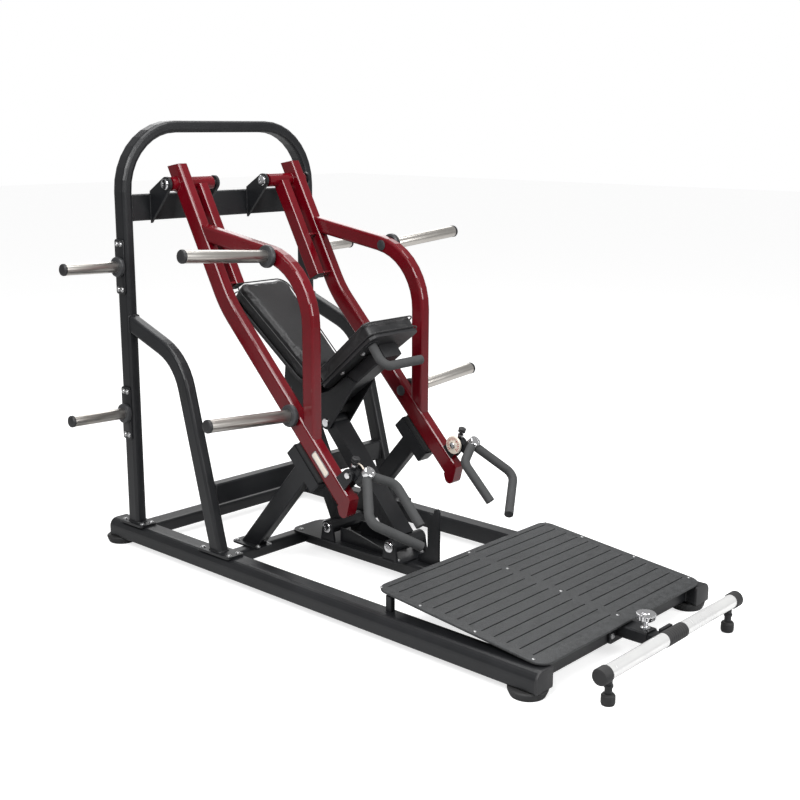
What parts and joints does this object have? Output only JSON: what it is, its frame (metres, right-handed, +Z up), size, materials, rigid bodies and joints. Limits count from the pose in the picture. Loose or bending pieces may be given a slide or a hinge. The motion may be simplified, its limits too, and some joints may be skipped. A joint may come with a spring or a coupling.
{
  "type": "leg press machine",
  "caption": "Plate-loaded leg and row press: black frame with an arch, two crimson lever arms with hand grips, a padded seat on a swinging linkage, a grooved platform and a sliding foot bar.",
  "frame": {"origin": "centre of the bounding box's base, on the floor", "axes": "+X from the uprights to the foot bar, +Y to the machine's right-hand side, +Z up"},
  "size_m": [2.584, 1.6582, 1.835],
  "materials": {
    "frame": "matte charcoal powder coat",
    "crimson": "gloss crimson enamel",
    "satin_steel": "satin turned steel",
    "chrome": "polished chrome",
    "rubber": "matte black rubber",
    "grip": "matte dark grey rubber",
    "plastic": "black, fine grain",
    "cream": "satin cream paint",
    "deck": "grained non-slip coat",
    "leatherette": "black leatherette over foam"
  },
  "bodies": {
    "machine_frame": {"rail_left": "frame", "rail_right": "frame", "foot_rear_left": "rubber", "foot_rear_right": "rubber", "foot_front_left": "rubber", "foot_front_right": "rubber", "cross_tube_rear": "frame", "cross_tube_mid": "frame", "cross_tube_front": "frame", "centre_rail": "frame", "arch_frame": "frame", "top_beam": "frame", "brace_left": "frame", "brace_right": "frame", "brace_crossbar": "frame", "arm_stop_left": "frame", "arm_stop_right": "frame", "arm_stop_rubber_left": "rubber", "arm_stop_rubber_right": "rubber", "arm_left_axle": "chrome", "arm_right_axle": "chrome", "linkage_base": "frame", "link_axle_rear": "chrome", "link_axle_front": "chrome", "hook_post": "frame", "platform_deck": "deck", "platform_bearers": "frame", "foot_bar_receiver": "frame", "storage_horn_lower_left": "satin_steel", "storage_horn_lower_right": "satin_steel", "storage_horn_upper_left": "satin_steel", "storage_horn_upper_right": "satin_steel"},
    "arm_left": {"arm_left_main_tube": "crimson", "arm_left_strut": "crimson", "arm_left_loop": "crimson", "weight_horn_upper_left": "satin_steel", "weight_horn_lower_left": "satin_steel", "handle_left_mount": "cream"},
    "handle_left_tilt_head": {"handle_left_hub": "frame"},
    "handle_left_pin": {"handle_left_pull_knob": "plastic"},
    "handle_left_swivel_head": {"handle_left_grips": "grip"},
    "arm_right": {"arm_right_main_tube": "crimson", "arm_right_strut": "crimson", "arm_right_loop": "crimson", "weight_horn_upper_right": "satin_steel", "weight_horn_lower_right": "satin_steel", "handle_right_mount": "cream"},
    "handle_right_tilt_head": {"handle_right_hub": "frame"},
    "handle_right_pin": {"handle_right_pull_knob": "plastic"},
    "handle_right_swivel_head": {"handle_right_grips": "grip"},
    "front_link": {"front_link": "frame"},
    "rear_link": {"rear_link": "frame"},
    "seat_carriage": {"seat_cushion": "leatherette", "seat_board": "plastic", "back_cushion": "leatherette", "back_board": "plastic", "carriage_frame": "frame", "seat_handle": "grip"},
    "foot_bar": {"foot_bar": "chrome"},
    "foot_bar_knob": {"foot_bar_knob": "chrome"}
  },
  "joints": [
    {"name": "arm_left_hinge", "type": "hinge", "parent": "machine_frame", "child": "arm_left", "pos_m": [-0.97, -0.319, 1.577], "axis": [0, -1, 0], "range_deg": [0, 40]},
    {"name": "handle_left_tilt", "type": "hinge", "parent": "arm_left", "child": "handle_left_tilt_head", "pos_m": [0.02911, -0.319, 0.5109], "axis": [0, -1, 0], "range_deg": [-15, 30]},
    {"name": "handle_left_pin_pull", "type": "slide", "parent": "handle_left_tilt_head", "child": "handle_left_pin", "axis": [0.2964, 0, 0.9551], "range_m": [0, 0.012], "stiffness_N_per_m": 800, "springref_m": -0.006},
    {"name": "handle_left_swivel", "type": "hinge", "parent": "handle_left_tilt_head", "child": "handle_left_swivel_head", "pos_m": [0.10489, -0.318, 0.52212], "axis": [0.7145, 0, 0.6997], "range_deg": [-25, 25]},
    {"name": "arm_right_hinge", "type": "hinge", "parent": "machine_frame", "child": "arm_right", "pos_m": [-0.97, 0.319, 1.577], "axis": [0, -1, 0], "range_deg": [0, 40]},
    {"name": "handle_right_tilt", "type": "hinge", "parent": "arm_right", "child": "handle_right_tilt_head", "pos_m": [0.02911, 0.319, 0.5109], "axis": [0, -1, 0], "range_deg": [-15, 30]},
    {"name": "handle_right_pin_pull", "type": "slide", "parent": "handle_right_tilt_head", "child": "handle_right_pin", "axis": [0.2964, 0, 0.9551], "range_m": [0, 0.012], "stiffness_N_per_m": 800, "springref_m": -0.006},
    {"name": "handle_right_swivel", "type": "hinge", "parent": "handle_right_tilt_head", "child": "handle_right_swivel_head", "pos_m": [0.10489, 0.318, 0.52212], "axis": [0.7145, 0, 0.6997], "range_deg": [-25, 25]},
    {"name": "front_link_hinge", "type": "hinge", "parent": "machine_frame", "child": "front_link", "pos_m": [0.017, 0, 0.155], "axis": [0, 1, 0], "range_deg": [0, 18]},
    {"name": "seat_carriage_hinge", "type": "hinge", "parent": "front_link", "child": "seat_carriage", "pos_m": [-0.382, 0, 0.6], "axis": [0, -1, 0], "range_deg": [0, 31.2]},
    {"name": "rear_link_hinge", "type": "hinge", "parent": "machine_frame", "child": "rear_link", "pos_m": [-0.341, 0, 0.157], "axis": [0, 1, 0], "range_deg": [0, 13.4]},
    {"name": "foot_bar_slide", "type": "slide", "parent": "machine_frame", "child": "foot_bar", "axis": [1, 0, 0], "range_m": [0, 0.06]},
    {"name": "foot_bar_knob_turn", "type": "hinge", "parent": "machine_frame", "child": "foot_bar_knob", "pos_m": [1.152, 0, 0.1043], "axis": [0, 0, 1], "range_deg": [-180, 180]}
  ],
  "couplings": [
    {"joint": "seat_carriage_hinge", "follows": "front_link_hinge", "ratio": 1.73},
    {"joint": "rear_link_hinge", "follows": "front_link_hinge", "ratio": 0.74}
  ]
}
